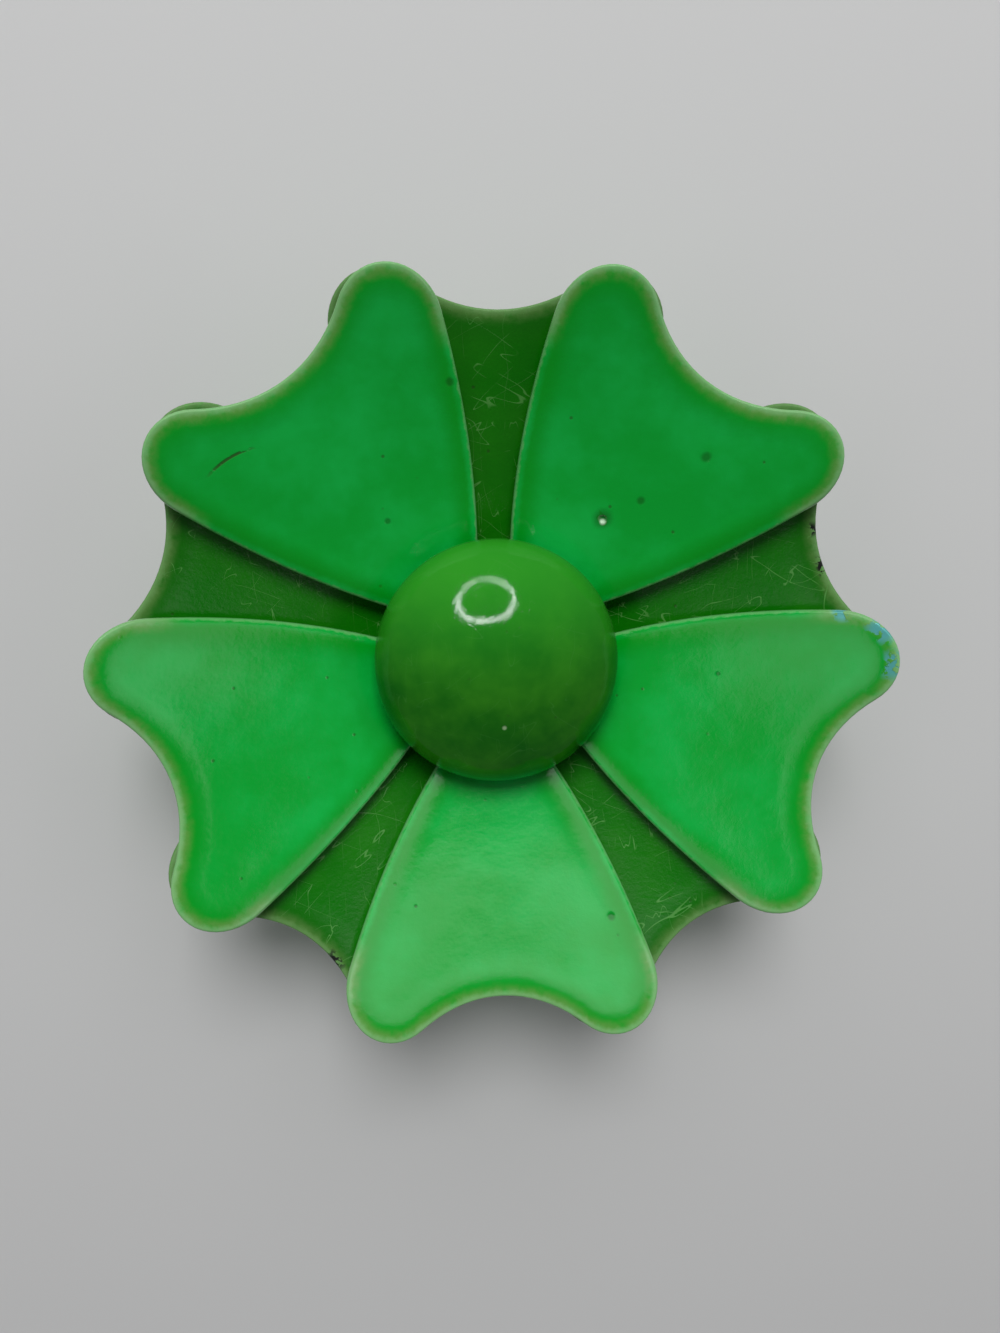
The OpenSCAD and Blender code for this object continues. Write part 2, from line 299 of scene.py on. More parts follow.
# Flaws in the enamel lie at places on the plan, in millimetres right of the centre rivet and
# up from it. A spot is such a place and its radius.
PIT_X = 10.0
PIT_Y = 13.1
PIT_R = 0.42 * MM
PIT_DEPTH = 0.26 * MM
# A painted highlight, not a flaw: a pale spot on the pit's lower edge stands for the lamp's glint
# in the hollow.
PIT_GLINT = (PIT_X + 0.05, PIT_Y - 0.25, 0.4)
BURNT_SPOTS = [(PIT_X, PIT_Y, 1.2), (13.3, 14.7, 0.5), (-9.9, 13.0, 0.4), (-4.1, 24.9, 0.5),
               (18.5, 18.4, 0.6), (-2.7, 23.6, 0.3), (20.8, -1.4, 0.3), (10.4, -24.0, 0.5)]
TIP_CHIPS = [(33.4, 3.2, 1.6), (34.4, 0.2, 1.7), (30.5, 4.6, 1.0)]
EDGE_CHIPS = [(29.6, 8.6, 1.3), (-15.3, -27.3, 1.4), (28.5, 12.0, 0.9)]
SCRATCH_CENTRE = (-18.6, 11.6)
SCRATCH_BEND = 7.9 * MM
SCRATCH_SPOT = (-22.6, 17.9, 2.8)
ENAMEL_RELIEF = 0.008 * MM

upper_low, upper_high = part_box("upper_petals")
upper_petals = press_layer("upper_petals_enamelled", reach_of(-upper_low.y), upper_low.z,
                           math.pi / PETALS)
drill(upper_petals, Vector((0, 0, 0)), RIVET_R + SWIVEL_GAP)
pit(upper_petals, PIT_X * MM, PIT_Y * MM, PIT_R, PIT_DEPTH)


def add_node(tree, kind, inputs=None, **settings):
    """Adds a node with these settings, and fills its inputs with values or links."""
    node = tree.nodes.new(kind)
    for name, value in settings.items():
        setattr(node, name, value)
    for name, value in (inputs or {}).items():
        if isinstance(value, bpy.types.NodeSocket):
            tree.links.new(value, node.inputs[name])
        else:
            node.inputs[name].default_value = value
    return node


def maths(tree, operation, first, second=0.5, third=0.5, clamp=False):
    """The result of a Math node."""
    inputs = {0: first, 1: second, 2: third}
    node = add_node(tree, "ShaderNodeMath", inputs, operation=operation, use_clamp=clamp)
    return node.outputs[0]


def times(tree, first, second):
    """The product of two values."""
    return maths(tree, "MULTIPLY", first, second)


def vector_maths(tree, operation, first, second, third=(0, 0, 0)):
    """The result of a Vector Math node: a number for a distance, else a vector."""
    inputs = {0: first, 1: second, 2: third}
    node = add_node(tree, "ShaderNodeVectorMath", inputs, operation=operation)
    return node.outputs["Value" if operation == "DISTANCE" else "Vector"]


def plan_distance(tree, place, x, y):
    """How far a place is, on the plan, from a point that is given in millimetres."""
    flat = vector_maths(tree, "MULTIPLY", place, (1, 1, 0))
    return vector_maths(tree, "DISTANCE", flat, (x * MM, y * MM, 0))


def ramp(tree, value, start, stop):
    """0 where the value is at start, 1 where it is at stop, and smooth between them."""
    inputs = {"Value": value, "From Min": start, "From Max": stop}
    return add_node(tree, "ShaderNodeMapRange", inputs, interpolation_type="SMOOTHSTEP").outputs[0]


def mix_colour(tree, share, first, second):
    """The first colour, with this share of the second mixed in."""
    inputs = {"Factor": share, 6: first, 7: second}
    return add_node(tree, "ShaderNodeMix", inputs, data_type="RGBA").outputs[2]


def noise(tree, place, scale, detail=2, rough=0.5):
    """The grey value of a Noise texture, with this many waves to the metre."""
    inputs = {"Vector": place, "Scale": scale, "Detail": detail, "Roughness": rough}
    return add_node(tree, "ShaderNodeTexNoise", inputs).outputs[0]


def new_group(name, inputs, outputs):
    """A shader node group with named sockets. Returns its tree, its inputs and its outputs."""
    tree = bpy.data.node_groups.new(name, "ShaderNodeTree")
    for socket, (kind, value) in inputs.items():
        item = tree.interface.new_socket(socket, in_out="INPUT", socket_type="NodeSocket" + kind)
        if value is not None:
            item.default_value = value
    for socket, kind in outputs.items():
        tree.interface.new_socket(socket, in_out="OUTPUT", socket_type="NodeSocket" + kind)
    given = add_node(tree, "NodeGroupInput").outputs
    made = add_node(tree, "NodeGroupOutput").inputs
    return tree, given, made


def place_group(tree, group, inputs):
    """The outputs of a node that stands for the group, with its inputs filled."""
    return add_node(tree, "ShaderNodeGroup", inputs, node_tree=group).outputs


def enamel_skin_group():
    """Fired enamel: slow colour drift, dust specks, and the dimpled skin that breaks up a
    reflection into sparkles."""
    tree, given, made = new_group(
        "Enamel skin",
        {"Place": ("Vector", None), "Colour": ("Color", None), "Cloudy Colour": ("Color", None),
         "Cloudiness": ("Float", 0.5), "Dimple Depth": ("Float", 1.0)},
        {"Colour": "Color", "Roughness": "Float", "Height": "Float"})
    place = given["Place"]
    dark = (0.02, 0.05, 0.01, 1)
    clouds = ramp(tree, noise(tree, place, 110, detail=4, rough=0.6), 0.35, 0.7)
    clouds = times(tree, clouds, given["Cloudiness"])
    clouded = mix_colour(tree, clouds, given["Colour"], given["Cloudy Colour"])
    cells = add_node(tree, "ShaderNodeTexVoronoi", {"Vector": place, "Scale": 460.0})
    speck = maths(tree, "SUBTRACT", 1, ramp(tree, cells.outputs["Distance"], 0.04, 0.10))
    rare = ramp(tree, noise(tree, place, 260, detail=1), 0.5, 0.58)
    specks = times(tree, speck, rare)
    colour = mix_colour(tree, times(tree, specks, 0.55), clouded, dark)
    dimples = noise(tree, place, 2600, detail=3, rough=0.65)
    waves = noise(tree, place, 420)
    height = times(tree, dimples, given["Dimple Depth"])
    height = maths(tree, "MULTIPLY_ADD", waves, 3.0, height)
    height = maths(tree, "SUBTRACT", height, times(tree, specks, 1.5))
    tree.links.new(colour, made["Colour"])
    tree.links.new(height, made["Height"])
    tree.links.new(maths(tree, "MULTIPLY_ADD", dimples, 0.14, 0.06), made["Roughness"])
    return tree


def edge_wear_shade_and_sheen_group():
    """Enamel along a cut edge. A band just inside the rim is deeper in colour: partly enamel that
    gathers there, partly painted shade where the edge rolls away from the light. The rim is pale:
    partly rubbed thin, partly a painted reflection of the pale room in the rounded edge. The tips
    are rubbed pale in patches. Distances from the edge are in millimetres."""
    tree, given, made = new_group(
        "Edge wear",
        {"Place": ("Vector", None), "Colour": ("Color", None), "Pooled Colour And Shade": ("Color", None),
         "Rim Colour And Sheen": ("Color", None), "Worn Colour": ("Color", None),
         "From Edge": ("Float", 9.0)},
        {"Colour": "Color", "Height": "Float"})
    place = given["Place"]
    at_tips = ramp(tree, plan_distance(tree, place, 0, 0), 27.5 * MM, 31 * MM)
    ragged = noise(tree, place, 1500, detail=3, rough=0.6)
    ragged = maths(tree, "MULTIPLY_ADD", ragged, 0.5, -0.25)
    edge = maths(tree, "ADD", given["From Edge"], ragged)
    # Partly painted shade: this band inside the rim is darkened as the shade of the rolling edge,
    # and partly it is enamel that gathers there.
    pooled_and_shade = times(tree, ramp(tree, edge, 3.0, 0.9), ramp(tree, edge, 0.3, 0.9))
    colour = mix_colour(tree, times(tree, pooled_and_shade, 0.8), given["Colour"], given["Pooled Colour And Shade"])
    patches = ramp(tree, noise(tree, place, 700, detail=4, rough=0.6), 0.15, 0.6)
    worn = times(tree, ramp(tree, edge, 1.5, 0.4), times(tree, at_tips, patches))
    colour = mix_colour(tree, times(tree, worn, 0.6), colour, given["Worn Colour"])
    # Partly painted reflection: the pale rim, wider at the tips, stands for the pale room mirrored
    # in the rounded edge, and partly for enamel rubbed thin.
    rim = times(tree, ramp(tree, edge, 0.32, 0.08), 0.5)
    tip_rim = times(tree, ramp(tree, edge, 0.75, 0.2), times(tree, at_tips, 0.7))
    colour = mix_colour(tree, maths(tree, "MAXIMUM", rim, tip_rim), colour, given["Rim Colour And Sheen"])
    tree.links.new(colour, made["Colour"])
    tree.links.new(times(tree, worn, -1.5), made["Height"])
    return tree


def hairlines_group():
    """Fine rubbing marks and lint: long thin lines in three directions, paler than the enamel.
    A line is where a drawn-out noise crosses its middle value, broken up by another noise."""
    tree, given, made = new_group(
        "Hairlines",
        {"Place": ("Vector", None), "Colour": ("Color", None), "Hair Colour": ("Color", None),
         "Amount": ("Float", 1.0)},
        {"Colour": "Color", "Height": "Float"})
    drawn_out = (0.16, 1, 0.3)
    hairs = None
    for i, (turn, scale) in enumerate(((0.4, 420), (1.5, 560), (2.5, 480))):
        turned = add_node(tree, "ShaderNodeVectorRotate", {"Vector": given["Place"], "Angle": turn},
                          rotation_type="Z_AXIS").outputs[0]
        shifted = (0.013 * i, 0.029 * i, 0.017 * i)
        place = vector_maths(tree, "MULTIPLY_ADD", turned, drawn_out, shifted)
        field = noise(tree, place, scale, detail=1.5, rough=0.4)
        off_line = maths(tree, "ABSOLUTE", maths(tree, "SUBTRACT", field, 0.5))
        line = ramp(tree, off_line, 0.0035, 0.0012)
        breaks = ramp(tree, noise(tree, given["Place"], 420, detail=1), 0.46, 0.56)
        broken = times(tree, line, breaks)
        hairs = broken if hairs is None else maths(tree, "MAXIMUM", hairs, broken)
    share = times(tree, hairs, given["Amount"])
    tree.links.new(mix_colour(tree, share, given["Colour"], given["Hair Colour"]), made["Colour"])
    tree.links.new(share, made["Height"])
    return tree


ENAMEL_SKIN = enamel_skin_group()
EDGE_WEAR_SHADE_AND_SHEEN = edge_wear_shade_and_sheen_group()
HAIRLINES = hairlines_group()


def new_material(name):
    """An empty material: its tree, the object's own coordinates, and its shader."""
    material = bpy.data.materials.new(name)
    material.use_nodes = True
    tree = material.node_tree
    tree.nodes.clear()
    place = add_node(tree, "ShaderNodeTexCoord").outputs["Object"]
    shader = add_node(tree, "ShaderNodeBsdfPrincipled")
    add_node(tree, "ShaderNodeOutputMaterial", {"Surface": shader.outputs[0]})
    return material, tree, place, shader


def bump(tree, shader, height, depth):
    """Feeds a height into the shader's normal. A height of 1 stands this deep."""
    node = add_node(tree, "ShaderNodeBump", {"Height": height, "Strength": 1.0, "Distance": depth})
    tree.links.new(node.outputs[0], shader.inputs["Normal"])


def spot(tree, place, x, y, radius):
    """1 at a place on the plan, 0 beyond the radius. All three are in millimetres."""
    return ramp(tree, plan_distance(tree, place, x, y), radius * MM, radius * 0.3 * MM)


def greatest(tree, masks):
    """The greatest of several masks."""
    result = masks[0]
    for mask in masks[1:]:
        result = maths(tree, "MAXIMUM", result, mask)
    return result


def distance_in(tree):
    """The distance from the cut edge, in millimetres, that cup_layer kept with the points."""
    return add_node(tree, "ShaderNodeAttribute", attribute_name="from_edge").outputs["Fac"]


def back_enamel():
    """Moss green enamel, rubbed and full of lint, with a few black chips on its edge."""
    material, tree, place, shader = new_material("back_enamel")
    edge = distance_in(tree)
    black = (0.012, 0.014, 0.012, 1)
    skin = place_group(tree, ENAMEL_SKIN, {
        "Place": place, "Colour": (0.003, 0.15, 0.001, 1), "Cloudy Colour": (0.012, 0.18, 0.004, 1),
        "Cloudiness": 0.8, "Dimple Depth": 2.6})
    # The colour for gathered enamel inside the rim also stands for painted shade, and the pale rim
    # colour for a painted reflection on the rounded edge.
    wear_shade_and_sheen = place_group(tree, EDGE_WEAR_SHADE_AND_SHEEN, {
        "Place": place, "Colour": skin["Colour"], "Pooled Colour And Shade": (0.008, 0.13, 0.004, 1),
        "Rim Colour And Sheen": (0.14, 0.30, 0.10, 1), "Worn Colour": (0.13, 0.24, 0.07, 1),
        "From Edge": edge})
    hairs = place_group(tree, HAIRLINES, {
        "Place": place, "Colour": wear_shade_and_sheen["Colour"], "Hair Colour": (0.10, 0.32, 0.07, 1),
        "Amount": 0.7})
    near = greatest(tree, [spot(tree, place, *s) for s in EDGE_CHIPS])
    broken = ramp(tree, noise(tree, place, 1300, detail=3, rough=0.6), 0.46, 0.5)
    chip = times(tree, times(tree, near, broken), ramp(tree, edge, 0.9, 0.5))
    colour = mix_colour(tree, chip, hairs["Colour"], black)
    tree.links.new(colour, shader.inputs["Base Color"])
    tree.links.new(maths(tree, "ADD", skin["Roughness"], 0.06), shader.inputs["Roughness"])
    shader.inputs["Specular IOR Level"].default_value = 0.28
    height = maths(tree, "ADD", skin["Height"], maths(tree, "ADD", wear_shade_and_sheen["Height"], hairs["Height"]))
    height = maths(tree, "SUBTRACT", height, times(tree, chip, 4))
    bump(tree, shader, height, ENAMEL_RELIEF)
    return material


def front_enamel():
    """Bright green enamel with a few burnt specks, a pit with a painted highlight on its lower
    edge, a curved scratch, and chips at one petal's tip whose bare metal is painted the teal
    it mirrors."""
    material, tree, place, shader = new_material("front_enamel")
    edge = distance_in(tree)
    burnt_colour = (0.004, 0.07, 0.004, 1)
    scratch_colour = (0.03, 0.05, 0.012, 1)
    chip_metal_and_reflection_colour = (0.10, 0.42, 0.40, 1)
    glint_colour = (0.62, 0.80, 0.60, 1)
    skin = place_group(tree, ENAMEL_SKIN, {
        "Place": place, "Colour": (0.001, 0.36, 0.030, 1), "Cloudy Colour": (0.005, 0.44, 0.062, 1),
        "Cloudiness": 1.0, "Dimple Depth": 1.2})
    # The colour for gathered enamel inside the rim also stands for painted shade, and the pale rim
    # colour for a painted reflection on the rounded edge.
    wear_shade_and_sheen = place_group(tree, EDGE_WEAR_SHADE_AND_SHEEN, {
        "Place": place, "Colour": skin["Colour"], "Pooled Colour And Shade": (0.000, 0.29, 0.008, 1),
        "Rim Colour And Sheen": (0.22, 0.48, 0.20, 1), "Worn Colour": (0.20, 0.30, 0.09, 1),
        "From Edge": edge})
    burnt = greatest(tree, [spot(tree, place, *s) for s in BURNT_SPOTS])
    colour = mix_colour(tree, times(tree, burnt, 0.55), wear_shade_and_sheen["Colour"], burnt_colour)
    away = plan_distance(tree, place, *SCRATCH_CENTRE)
    off_arc = maths(tree, "ABSOLUTE", maths(tree, "SUBTRACT", away, SCRATCH_BEND))
    on_arc = ramp(tree, off_arc, 0.16 * MM, 0.05 * MM)
    scratch = times(tree, on_arc, spot(tree, place, *SCRATCH_SPOT))
    scratch = times(tree, scratch, ramp(tree, noise(tree, place, 1800), 0.36, 0.5))
    colour = mix_colour(tree, times(tree, scratch, 0.8), colour, scratch_colour)
    # Painted reflection, in part: the chips are bare metal, given the teal colour that it mirrors
    # instead of its own silver tone.
    near_tip = greatest(tree, [spot(tree, place, *s) for s in TIP_CHIPS])
    broken = ramp(tree, noise(tree, place, 1300, detail=3, rough=0.6), 0.47, 0.5)
    chip = times(tree, times(tree, near_tip, broken), ramp(tree, edge, 1.5, 1.1))
    colour = mix_colour(tree, chip, colour, chip_metal_and_reflection_colour)
    # Painted highlight: the pale spot on the pit's lower edge.
    painted_glint = spot(tree, place, *PIT_GLINT)
    colour = mix_colour(tree, times(tree, painted_glint, 0.8), colour, glint_colour)
    tree.links.new(colour, shader.inputs["Base Color"])
    tree.links.new(times(tree, chip, 0.2), shader.inputs["Metallic"])
    tree.links.new(skin["Roughness"], shader.inputs["Roughness"])
    height = maths(tree, "ADD", skin["Height"], wear_shade_and_sheen["Height"])
    flaws = greatest(tree, [chip, scratch, burnt])
    height = maths(tree, "SUBTRACT", height, times(tree, flaws, 4))
    bump(tree, shader, height, ENAMEL_RELIEF)
    return material


def finish_piece(piece, node, body, material, degrees=35):
    """Shades the piece smooth up to an angle, gives it its material, and lets it stand for
    its node."""
    deselect_all()
    piece.select_set(True)
    bpy.context.view_layer.objects.active = piece
    bpy.ops.object.shade_smooth_by_angle(angle=math.radians(degrees))
    piece.data.materials.clear()
    piece.data.materials.append(material)
    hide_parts(node)
    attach(piece, body)


finish_piece(lower_petals, "lower_petals", "back", back_enamel())
finish_piece(upper_petals, "upper_petals", "front_flower", front_enamel())


# ------------------------------------------------------------------ dome
# The button in the middle: one round sheet drawn to a dome, with a tight shoulder and its
# rim rolled in under the plate behind it. Dark green enamel, cloudy in patches, with painted
# light that makes it paler towards the top.

DOME_WALL = 0.6 * MM
WAIST_H = 1.6 * MM  # where the dome is widest, above its foot
CROWN_R = 17 * MM
SHOULDER_R = 3.8 * MM
ROLLED_W = 1.8 * MM
ROLLED_LIP = 0.1 * MM
RIM_BEAD_R = 0.55 * MM
BEAD_STEPS = 6
FRONT_STEPS = 36
INSIDE_STEPS = 24


def turn_faces_out(merge=False):
    """In edit mode: turns all faces outwards, once points that lie together are merged."""
    bpy.ops.mesh.select_all(action="SELECT")
    if merge:
        bpy.ops.mesh.remove_doubles(threshold=SAME_POINT)
    bpy.ops.mesh.normals_make_consistent(inside=False)
    bpy.ops.object.mode_set(mode="OBJECT")


def spin_section(name, section, foot, axis, steps, ring=False):
    """Turns a section of (radius, height) points about an axis through foot. Unless it is a
    ring, the section's first and last points lie on the axis."""
    side = axis.orthogonal().normalized()
    places = [foot + axis * height + side * radius for radius, height in section]
    piece = new_loop(name, places, "NOTHING")
    if not ring:
        bpy.ops.mesh.select_all(action="DESELECT")
        bpy.ops.object.mode_set(mode="OBJECT")
        ends = {0, len(section) - 1}
        for vertex in piece.data.vertices:
            vertex.select = vertex.index in ends
        for edge in piece.data.edges:
            edge.select = set(edge.vertices) == ends
        bpy.ops.object.mode_set(mode="EDIT")
        bpy.ops.mesh.delete(type="EDGE")
    bpy.ops.mesh.select_all(action="SELECT")
    bpy.ops.mesh.spin(steps=steps, angle=math.tau, center=foot, axis=axis)
    turn_faces_out(merge=True)
    return piece


def dome_skin(radius, inset, steps):
    """Half section of the dome from its top down to the waist: crown, then shoulder."""
    shoulder_x = radius - SHOULDER_R
    crown_z = WAIST_H - math.sqrt((CROWN_R - SHOULDER_R) ** 2 - shoulder_x**2)
    tilt = math.asin(shoulder_x / (CROWN_R - SHOULDER_R))
    crown_r = CROWN_R - inset
    shoulder_r = SHOULDER_R - inset
    points = []
    for i in range(steps):
        a = tilt * i / steps
        points.append((crown_r * math.sin(a), crown_z + crown_r * math.cos(a)))
    for i in range(steps // 2 + 1):
        a = tilt + (math.pi / 2 - tilt) * i / (steps // 2)
        points.append((shoulder_x + shoulder_r * math.sin(a), WAIST_H + shoulder_r * math.cos(a)))
    return points


dome_low, dome_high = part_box("dome_cap")
dome_r = dome_high.x
outer = dome_skin(dome_r, 0, FRONT_STEPS)
inner = dome_skin(dome_r, DOME_WALL, INSIDE_STEPS)
bead_centre = Vector((dome_r - RIM_BEAD_R, RIM_BEAD_R))
bead = whole_arc(bead_centre, RIM_BEAD_R, 0, -math.pi / 2, BEAD_STEPS)
flange_r = dome_r - ROLLED_W
flange = [(flange_r, 0), (flange_r - ROLLED_LIP, DOME_WALL / 2), (flange_r, DOME_WALL)]
flange.append((dome_r - DOME_WALL, DOME_WALL))
dome = spin_section("dome_cap_enamelled", outer + bead + flange + inner[::-1],
                    Vector((0, 0, dome_low.z)), UP, steps=144)


def dome_enamel():
    """Dark green enamel, cloudy olive in patches, with painted light that makes it paler towards
    the top, rubbing marks and one bright nick."""
    material, tree, place, shader = new_material("dome_enamel")
    painted_top_light_colour = (0.030, 0.34, 0.020, 1)
    nick_colour = (0.45, 0.62, 0.36, 1)
    skin = place_group(tree, ENAMEL_SKIN, {
        "Place": place, "Colour": (0.001, 0.11, 0.001, 1), "Cloudy Colour": (0.026, 0.20, 0.006, 1),
        "Cloudiness": 1.0, "Dimple Depth": 1.2})
    # Painted light: the enamel turns paler green towards the top (+Y), the side the lamps stand on,
    # as the light that falls there. The mask thin holds this painted light, not thinner enamel.
    upward = add_node(tree, "ShaderNodeSeparateXYZ", {"Vector": place}).outputs["Y"]
    thin = times(tree, ramp(tree, upward, -4 * MM, 10 * MM), 0.8)
    clouded = mix_colour(tree, thin, skin["Colour"], painted_top_light_colour)
    hairs = place_group(tree, HAIRLINES, {
        "Place": place, "Colour": clouded, "Hair Colour": (0.10, 0.34, 0.08, 1), "Amount": 0.12})
    nick = spot(tree, place, 0.3, -5.3, 0.28)
    colour = mix_colour(tree, times(tree, nick, 0.6), hairs["Colour"], nick_colour)
    tree.links.new(colour, shader.inputs["Base Color"])
    tree.links.new(times(tree, skin["Roughness"], 0.5), shader.inputs["Roughness"])
    height = maths(tree, "ADD", skin["Height"], hairs["Height"])
    height = maths(tree, "SUBTRACT", height, times(tree, nick, 3))
    bump(tree, shader, height, ENAMEL_RELIEF)
    return material


finish_piece(dome, "dome_cap", "back", dome_enamel())


# ------------------------------------------------------------------ rivets and washers
# Plain steel rivets and dull nickelled washers. The centre rivet has a domed head inside the
# dome and a hollow tail rolled over behind the bar; two small ones stop the bar turning.

WASHER_EDGE = 0.12 * MM
HEAD_STEPS = 6
CENTRE_HEAD_H = 1.0 * MM
TAIL_H = 0.5 * MM
TAIL_R = 2.1 * MM
TAIL_STEPS = 8
TAIL_BORE_R = 0.75 * MM
TAIL_BORE_H = 1.6 * MM
DRILL_TIP_H = 0.3 * MM
TAIL_FLARE = ((0.35, 0.04), (0.10, 0.16), (0, 0.40))  # beyond the bore's radius, and height, mm
METAL_RELIEF = 0.006 * MM


def washer_section(inner_r, outer_r, height):
    """Section of a flat ring whose four edges are rounded."""
    corners = [(outer_r, height), (inner_r, height), (inner_r, 0), (outer_r, 0)]
    points = []
    for quarter, (radius, z) in enumerate(corners):
        inwards = WASHER_EDGE if radius == inner_r else -WASHER_EDGE
        upwards = WASHER_EDGE if z == 0 else -WASHER_EDGE
        centre = Vector((radius + inwards, z + upwards))
        start = quarter * math.pi / 2
        points += whole_arc(centre, WASHER_EDGE, start, start + math.pi / 2, steps=3)
    return points


def domed_head(radius, base, height, up):
    """Points of a rivet head from its top on the axis to its rim; up is 1 or -1."""
    rim_h = 0.25 * height
    points = []
    for i in range(HEAD_STEPS + 1):
        a = math.pi / 2 * i / HEAD_STEPS
        points.append((radius * math.sin(a), base + up * (rim_h + (height - rim_h) * math.cos(a))))
    return points + [(radius, base)]


def metal_finish_group():
    """Bare or plated steel: cloudy tarnish, pits, fine scratches, and edges rubbed bright."""
    tree, given, made = new_group(
        "Metal finish",
        {"Place": ("Vector", None), "Colour": ("Color", None), "Tarnish": ("Color", None),
         "Bright": ("Color", None), "Scale": ("Float", 300.0), "Roughness": ("Float", 0.3)},
        {"Colour": "Color", "Roughness": "Float", "Height": "Float"})
    place = given["Place"]
    clouds = ramp(tree, noise(tree, place, given["Scale"], detail=5, rough=0.6), 0.42, 0.66)
    pits = ramp(tree, noise(tree, place, 1900, detail=3, rough=0.7), 0.62, 0.74)
    along = vector_maths(tree, "MULTIPLY", place, (0.12, 1, 1))
    lines = noise(tree, along, 5200, rough=0.6)
    colour = mix_colour(tree, times(tree, clouds, 0.7), given["Colour"], given["Tarnish"])
    colour = mix_colour(tree, times(tree, pits, 0.6), colour, given["Tarnish"])
    ridge = add_node(tree, "ShaderNodeNewGeometry").outputs["Pointiness"]
    ridge = ramp(tree, ridge, 0.52, 0.6)
    rubbed = times(tree, ridge, ramp(tree, noise(tree, place, 900, detail=3), 0.3, 0.6))
    tree.links.new(mix_colour(tree, rubbed, colour, given["Bright"]), made["Colour"])
    rough = maths(tree, "MULTIPLY_ADD", clouds, 0.22, given["Roughness"])
    rough = maths(tree, "MULTIPLY_ADD", lines, 0.16, rough)
    rough = maths(tree, "MULTIPLY_ADD", rubbed, -0.15, rough, clamp=True)
    tree.links.new(rough, made["Roughness"])
    height = maths(tree, "SUBTRACT", times(tree, lines, 0.5), times(tree, pits, 1.5))
    tree.links.new(height, made["Height"])
    return tree


METAL_FINISH = metal_finish_group()


def new_steel(name, colour, tarnish, bright, roughness, scale):
    """A bare or plated steel, whose scale is how many clouds of tarnish go to the metre."""
    material, tree, place, shader = new_material(name)
    finish = place_group(tree, METAL_FINISH, {
        "Place": place, "Colour": colour, "Tarnish": tarnish, "Bright": bright, "Scale": scale,
        "Roughness": roughness})
    tree.links.new(finish["Colour"], shader.inputs["Base Color"])
    tree.links.new(finish["Roughness"], shader.inputs["Roughness"])
    shader.inputs["Metallic"].default_value = 1.0
    bump(tree, shader, finish["Height"], METAL_RELIEF)
    return material


NICKEL = new_steel("nickel_plate", colour=(0.56, 0.53, 0.47, 1), tarnish=(0.28, 0.25, 0.20, 1),
                   bright=(0.76, 0.74, 0.70, 1), roughness=0.26, scale=260.0)
STEEL = new_steel("rivet_steel", colour=(0.44, 0.43, 0.41, 1), tarnish=(0.20, 0.17, 0.14, 1),
                  bright=(0.66, 0.65, 0.62, 1), roughness=0.30, scale=420.0)

for node in ("dome_back_plate", "dome_collar", "layer_spacer", "backing_washer"):
    low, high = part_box(node)
    section = washer_section(RIVET_R, high.x, high.z - low.z)
    foot = Vector((0, 0, low.z))
    washer = spin_section(node + "_turned", section, foot, UP, steps=96, ring=True)
    if node == "backing_washer":
        for side in (-1, 1):
            drill(washer, Vector((side * bar_rivet_x, 0, 0)), BAR_RIVET_R)
    finish_piece(washer, node, "back", NICKEL)

low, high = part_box("centre_rivet")
head_base = high.z - low.z - CENTRE_HEAD_H
tail_centre = Vector((TAIL_R - TAIL_H / 2, TAIL_H / 2))
section = domed_head(high.x, head_base, CENTRE_HEAD_H, 1)
section += [(RIVET_R, head_base), (RIVET_R, TAIL_H)]
section += whole_arc(tail_centre, TAIL_H / 2, math.pi / 2, -math.pi / 2, TAIL_STEPS)
section += [(TAIL_BORE_R + out * MM, height * MM) for out, height in TAIL_FLARE]
section += [(TAIL_BORE_R, TAIL_BORE_H), (0, TAIL_BORE_H + DRILL_TIP_H)]
rivet = spin_section("centre_rivet_turned", section, Vector((0, 0, low.z)), UP, steps=72)
finish_piece(rivet, "centre_rivet", "back", STEEL)

small_top = rivets_high.z - rivets_low.z - TAIL_H
section = domed_head(BAR_HEAD_R, small_top, TAIL_H, 1)
section += [(BAR_RIVET_R, small_top), (BAR_RIVET_R, TAIL_H)]
section += domed_head(BAR_HEAD_R, TAIL_H, TAIL_H, -1)[::-1]
for name, side in (("left", -1), ("right", 1)):
    foot = Vector((side * bar_rivet_x, 0, rivets_low.z))
    rivet = spin_section("bar_rivet_" + name, section, foot, UP, steps=40)
    finish_piece(rivet, "bar_rivets", "back", STEEL)


# ------------------------------------------------------------------ pin bar
# A strip of nickelled sheet across the back, round at the catch end, with two ears folded
# down at the other end to hold the hinge pin. Held by the centre rivet and two small ones.

BAR_EDGE = 0.1 * MM
EAR_R = 1.5 * MM
HINGE_PIN_R = 0.5 * MM
EAR_PLAY = 0.1 * MM
CORNER_END_R = 0.6 * MM


def prism(name, outline, origin, across, up, depth):
    """A flat outline, drawn from the origin along two directions, drawn out by the depth."""
    piece = new_loop(name, [origin + across * x + up * y for x, y in outline], "NGON")
    bpy.ops.mesh.extrude_region_move(TRANSFORM_OT_translate={"value": depth})
    turn_faces_out()
    return piece


